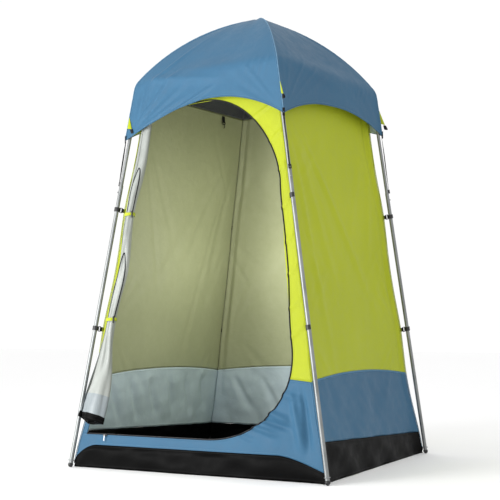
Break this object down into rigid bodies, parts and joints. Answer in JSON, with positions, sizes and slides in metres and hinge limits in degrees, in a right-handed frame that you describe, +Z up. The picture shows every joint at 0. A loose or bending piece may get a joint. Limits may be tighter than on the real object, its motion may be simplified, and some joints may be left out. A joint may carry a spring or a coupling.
{
  "type": "privacy shower tent",
  "caption": "Upright privacy shower tent: splayed pole frame, hung cloth cabin with a zipped D doorway and a lift-off rain fly.",
  "frame": {"origin": "on the ground, under the peak of the roof, at the centre of the four feet", "axes": "+Z up, -Y towards the doorway side, +X to the right of someone facing +Y into the doorway"},
  "size_m": [1.317, 1.317, 2.2],
  "materials": {
    "tube_steel": "grey zinc plated, satin",
    "bright_steel": "bright, satin",
    "fibreglass": "smooth black pultruded rod",
    "black_plastic": "moulded, fine grain",
    "elastic_cord": "braided",
    "black_webbing": "woven webbing",
    "black_floor": "coated sheet, slightly glossy",
    "blue_cloth": "plain weave, slight sheen",
    "green_cloth": "plain weave, slight sheen",
    "zip_tape": "coil zip tape",
    "silver_lining": "silver coated inside face of the door",
    "black_net": "fine net"
  },
  "bodies": {
    "frame": {"lower_leg_front_right": "tube_steel", "upper_leg_front_right": "tube_steel", "lower_leg_back_right": "tube_steel", "upper_leg_back_right": "tube_steel", "lower_leg_back_left": "tube_steel", "upper_leg_back_left": "tube_steel", "lower_leg_front_left": "tube_steel", "upper_leg_front_left": "tube_steel", "shoulder_elbows": "black_plastic", "roof_rod_low": "fibreglass", "roof_rod_high": "fibreglass", "rod_ferrules": "tube_steel", "rod_shock_cords": "elastic_cord", "apex_clip": "black_plastic", "foot_caps": "black_plastic", "foot_rings": "bright_steel", "foot_webbing": "black_webbing", "button_springs": "bright_steel", "hook_webbing": "black_webbing", "floor_sheet": "black_floor", "floor_skirt": "black_floor", "front_wall_sill": "blue_cloth", "front_wall_lower": "blue_cloth", "front_wall_upper": "green_cloth", "front_wall_edging": "green_cloth", "zip_track": "zip_tape", "door_bundle": "silver_lining", "door_ties": "green_cloth", "net_ceiling": "black_net", "ceiling_webbing": "black_webbing", "right_wall_lower": "blue_cloth", "right_wall_upper": "green_cloth", "back_wall_lower": "blue_cloth", "back_wall_upper": "green_cloth", "left_wall_lower": "blue_cloth", "left_wall_upper": "green_cloth"},
    "rain_fly": {"fly_right": "blue_cloth", "fly_back": "blue_cloth", "fly_left": "blue_cloth", "fly_front": "blue_cloth", "fly_guy_tabs": "green_cloth", "fly_webbing": "black_webbing", "fly_strap_hooks": "black_plastic"},
    "low_pole_hook_front_right": {"low_pole_hook_front_right": "black_plastic"},
    "high_pole_hook_front_right": {"high_pole_hook_front_right": "black_plastic"},
    "snap_button_front_right": {"snap_button_front_right": "bright_steel"},
    "low_pole_hook_back_right": {"low_pole_hook_back_right": "black_plastic"},
    "high_pole_hook_back_right": {"high_pole_hook_back_right": "black_plastic"},
    "snap_button_back_right": {"snap_button_back_right": "bright_steel"},
    "low_pole_hook_back_left": {"low_pole_hook_back_left": "black_plastic"},
    "high_pole_hook_back_left": {"high_pole_hook_back_left": "black_plastic"},
    "snap_button_back_left": {"snap_button_back_left": "bright_steel"},
    "low_pole_hook_front_left": {"low_pole_hook_front_left": "black_plastic"},
    "high_pole_hook_front_left": {"high_pole_hook_front_left": "black_plastic"},
    "snap_button_front_left": {"snap_button_front_left": "bright_steel"},
    "door_toggle_low": {"door_toggle_low": "black_plastic"},
    "door_toggle_high": {"door_toggle_high": "black_plastic"},
    "zip_slider": {"zip_slider": "black_plastic"},
    "zip_pull": {"zip_pull": "bright_steel"},
    "hanging_hook": {"hanging_hook": "black_plastic"}
  },
  "joints": [
    {"name": "fly_lift", "type": "slide", "parent": "frame", "child": "rain_fly", "axis": [0, 0, 1], "range_m": [0, 0.62]},
    {"name": "low_hook_swing_front_right", "type": "hinge", "parent": "frame", "child": "low_pole_hook_front_right", "pos_m": [0.52386, -0.57286, 0.63782], "axis": [0.1644, -0.0865, -0.9826], "range_deg": [0, 75]},
    {"name": "high_hook_swing_front_right", "type": "hinge", "parent": "frame", "child": "high_pole_hook_front_right", "pos_m": [0.42881, -0.5215, 1.2119], "axis": [0.1644, -0.0865, -0.9826], "range_deg": [0, 75]},
    {"name": "button_press_front_right", "type": "slide", "parent": "frame", "child": "snap_button_front_right", "axis": [0.6087, -0.775, 0.17], "range_m": [-0.0042, 0], "stiffness_N_per_m": 600, "springref_m": 0.003},
    {"name": "low_hook_swing_back_right", "type": "hinge", "parent": "frame", "child": "low_pole_hook_back_right", "pos_m": [0.57286, 0.52386, 0.63782], "axis": [0.0865, 0.1644, -0.9826], "range_deg": [0, 75]},
    {"name": "high_hook_swing_back_right", "type": "hinge", "parent": "frame", "child": "high_pole_hook_back_right", "pos_m": [0.5215, 0.42881, 1.2119], "axis": [0.0865, 0.1644, -0.9826], "range_deg": [0, 75]},
    {"name": "button_press_back_right", "type": "slide", "parent": "frame", "child": "snap_button_back_right", "axis": [0.775, 0.6087, 0.17], "range_m": [-0.0042, 0], "stiffness_N_per_m": 600, "springref_m": 0.003},
    {"name": "low_hook_swing_back_left", "type": "hinge", "parent": "frame", "child": "low_pole_hook_back_left", "pos_m": [-0.52386, 0.57286, 0.63782], "axis": [0.1644, -0.0865, 0.9826], "range_deg": [0, 75]},
    {"name": "high_hook_swing_back_left", "type": "hinge", "parent": "frame", "child": "high_pole_hook_back_left", "pos_m": [-0.42881, 0.5215, 1.2119], "axis": [0.1644, -0.0865, 0.9826], "range_deg": [0, 75]},
    {"name": "button_press_back_left", "type": "slide", "parent": "frame", "child": "snap_button_back_left", "axis": [-0.6087, 0.775, 0.17], "range_m": [-0.0042, 0], "stiffness_N_per_m": 600, "springref_m": 0.003},
    {"name": "low_hook_swing_front_left", "type": "hinge", "parent": "frame", "child": "low_pole_hook_front_left", "pos_m": [-0.57286, -0.52386, 0.63782], "axis": [0.0865, 0.1644, 0.9826], "range_deg": [0, 75]},
    {"name": "high_hook_swing_front_left", "type": "hinge", "parent": "frame", "child": "high_pole_hook_front_left", "pos_m": [-0.5215, -0.42881, 1.2119], "axis": [0.0865, 0.1644, 0.9826], "range_deg": [0, 75]},
    {"name": "button_press_front_left", "type": "slide", "parent": "frame", "child": "snap_button_front_left", "axis": [-0.775, -0.6087, 0.17], "range_m": [-0.0042, 0], "stiffness_N_per_m": 600, "springref_m": 0.003},
    {"name": "toggle_turn_low", "type": "hinge", "parent": "frame", "child": "door_toggle_low", "pos_m": [-0.48045, -0.55117, 0.682], "axis": [0.766, -0.6428, 0], "range_deg": [-80, 80]},
    {"name": "toggle_turn_high", "type": "hinge", "parent": "frame", "child": "door_toggle_high", "pos_m": [-0.43571, -0.47074, 1.186], "axis": [0.766, -0.6428, 0], "range_deg": [-80, 80]},
    {"name": "zip_slide", "type": "slide", "parent": "frame", "child": "zip_slider", "axis": [1, -0.0094, 0], "range_m": [0, 0.42]},
    {"name": "pull_swing", "type": "hinge", "parent": "zip_slider", "child": "zip_pull", "pos_m": [-0.48665, -0.60527, 0.1498], "axis": [-1, 0.0094, 0], "range_deg": [0, 150]},
    {"name": "hanging_hook_swing", "type": "hinge", "parent": "frame", "child": "hanging_hook", "pos_m": [-0.3495, 0.28262, 1.761], "axis": [-0.1736, -0.9848, 0], "range_deg": [-5, 100]}
  ]
}
